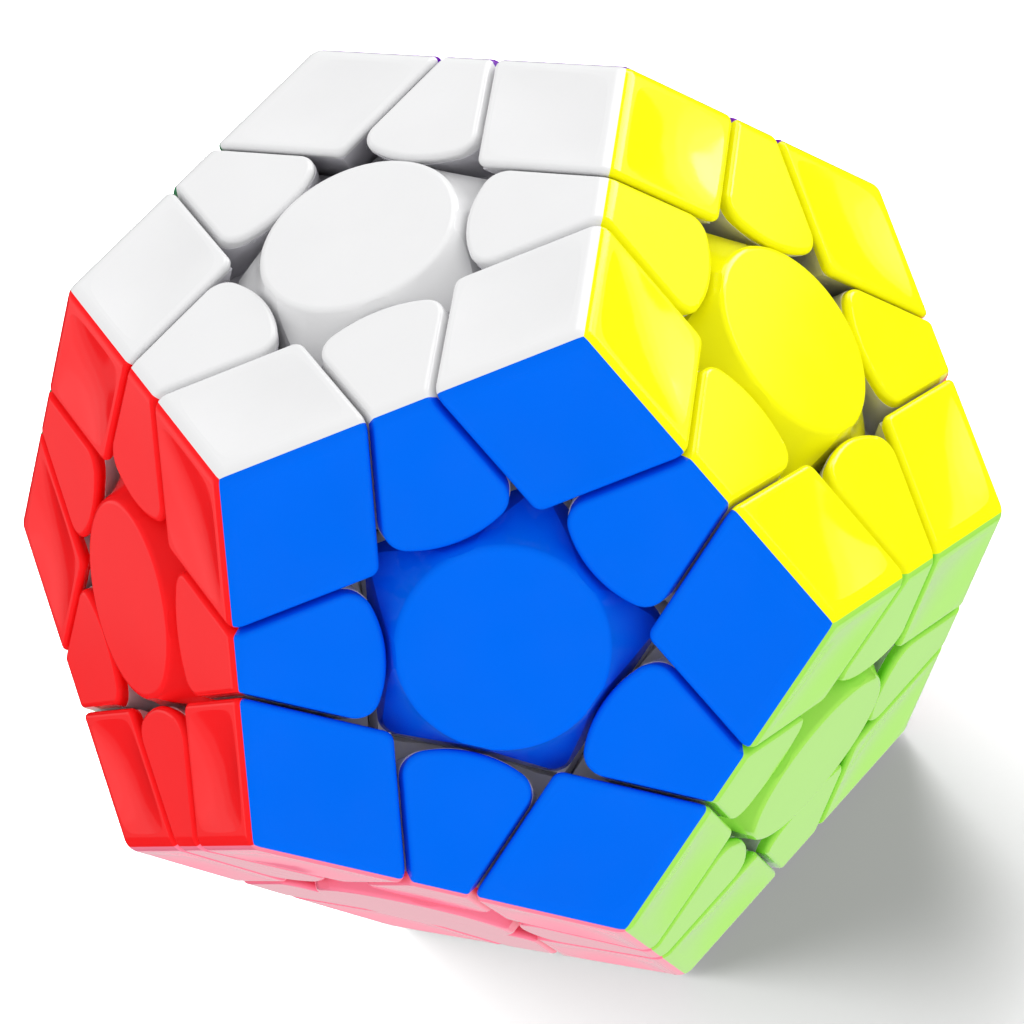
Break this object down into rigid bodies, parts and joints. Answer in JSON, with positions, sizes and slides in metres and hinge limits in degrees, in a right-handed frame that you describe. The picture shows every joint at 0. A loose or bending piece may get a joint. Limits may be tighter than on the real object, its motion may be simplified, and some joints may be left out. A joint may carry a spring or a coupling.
{
  "type": "dodecahedron twisty puzzle",
  "caption": "Twelve-sided twisty puzzle in solid colours, with turning pentagonal faces held by screws and springs on a central core.",
  "frame": {"origin": "centre of the core, where the twelve turning axes meet", "axes": "+Z out through the white face, -Y towards the blue face below it; it stands on the grey face, -Z"},
  "size_m": [0.0816, 0.0858, 0.071],
  "materials": {
    "white": "moulded satin-gloss, white",
    "grey": "moulded satin-gloss, grey",
    "blue": "moulded satin-gloss, blue",
    "yellow": "moulded satin-gloss, yellow",
    "purple": "moulded satin-gloss, purple",
    "dark_green": "moulded satin-gloss, dark green",
    "red": "moulded satin-gloss, red",
    "light_green": "moulded satin-gloss, light green",
    "orange": "moulded satin-gloss, orange",
    "sky_blue": "moulded satin-gloss, sky blue",
    "cream": "moulded satin-gloss, cream",
    "pink": "moulded satin-gloss, pink",
    "inner_plastic": "moulded grey, satin",
    "core_plastic": "moulded dark grey",
    "cup_plastic": "moulded natural white",
    "steel": "zinc-plated",
    "spring_steel": "spring wire"
  },
  "bodies": {
    "root": {"blue_center_cap": "blue", "blue_tiles": "blue", "core": "core_plastic", "core_screws": "steel", "dark_green_center_cap": "dark_green", "dark_green_tiles": "dark_green", "fixed_center_bases": "inner_plastic", "fixed_corner_bodies": "inner_plastic", "fixed_edge_bodies": "inner_plastic", "grey_center_cap": "grey", "grey_tiles": "grey", "orange_center_cap": "orange", "orange_tiles": "orange", "pink_center_cap": "pink", "pink_tiles": "pink", "purple_center_cap": "purple", "purple_tiles": "purple", "red_center_cap": "red", "red_tiles": "red", "sky_blue_center_cap": "sky_blue", "sky_blue_tiles": "sky_blue", "spring_cups": "cup_plastic", "springs": "spring_steel", "washers": "steel", "yellow_center_cap": "yellow", "yellow_tiles": "yellow"},
    "white_layer": {"white_center_cap": "white", "white_corner_tiles": "white", "white_edge_tiles": "white", "white_layer_blue_tiles": "blue", "white_layer_center_base": "inner_plastic", "white_layer_corner_bodies": "inner_plastic", "white_layer_dark_green_tiles": "dark_green", "white_layer_edge_bodies": "inner_plastic", "white_layer_purple_tiles": "purple", "white_layer_red_tiles": "red", "white_layer_yellow_tiles": "yellow"},
    "light_green_layer": {"light_green_center_cap": "light_green", "light_green_corner_tiles": "light_green", "light_green_edge_tiles": "light_green", "light_green_layer_blue_tiles": "blue", "light_green_layer_center_base": "inner_plastic", "light_green_layer_corner_bodies": "inner_plastic", "light_green_layer_edge_bodies": "inner_plastic", "light_green_layer_grey_tiles": "grey", "light_green_layer_orange_tiles": "orange", "light_green_layer_pink_tiles": "pink", "light_green_layer_yellow_tiles": "yellow"},
    "cream_layer": {"cream_center_cap": "cream", "cream_corner_tiles": "cream", "cream_edge_tiles": "cream", "cream_layer_center_base": "inner_plastic", "cream_layer_corner_bodies": "inner_plastic", "cream_layer_dark_green_tiles": "dark_green", "cream_layer_edge_bodies": "inner_plastic", "cream_layer_grey_tiles": "grey", "cream_layer_pink_tiles": "pink", "cream_layer_red_tiles": "red", "cream_layer_sky_blue_tiles": "sky_blue"}
  },
  "joints": [
    {"name": "white_face_turn", "type": "hinge", "parent": "root", "child": "white_layer", "pos_m": [0, 0, 0], "axis": [0, 0, 1], "continuous": true},
    {"name": "light_green_face_turn", "type": "hinge", "parent": "root", "child": "light_green_layer", "pos_m": [0, 0, 0], "axis": [0.5257, -0.7236, -0.4472], "continuous": true},
    {"name": "cream_face_turn", "type": "hinge", "parent": "root", "child": "cream_layer", "pos_m": [0, 0, 0], "axis": [-0.8507, 0.2764, -0.4472], "continuous": true}
  ]
}
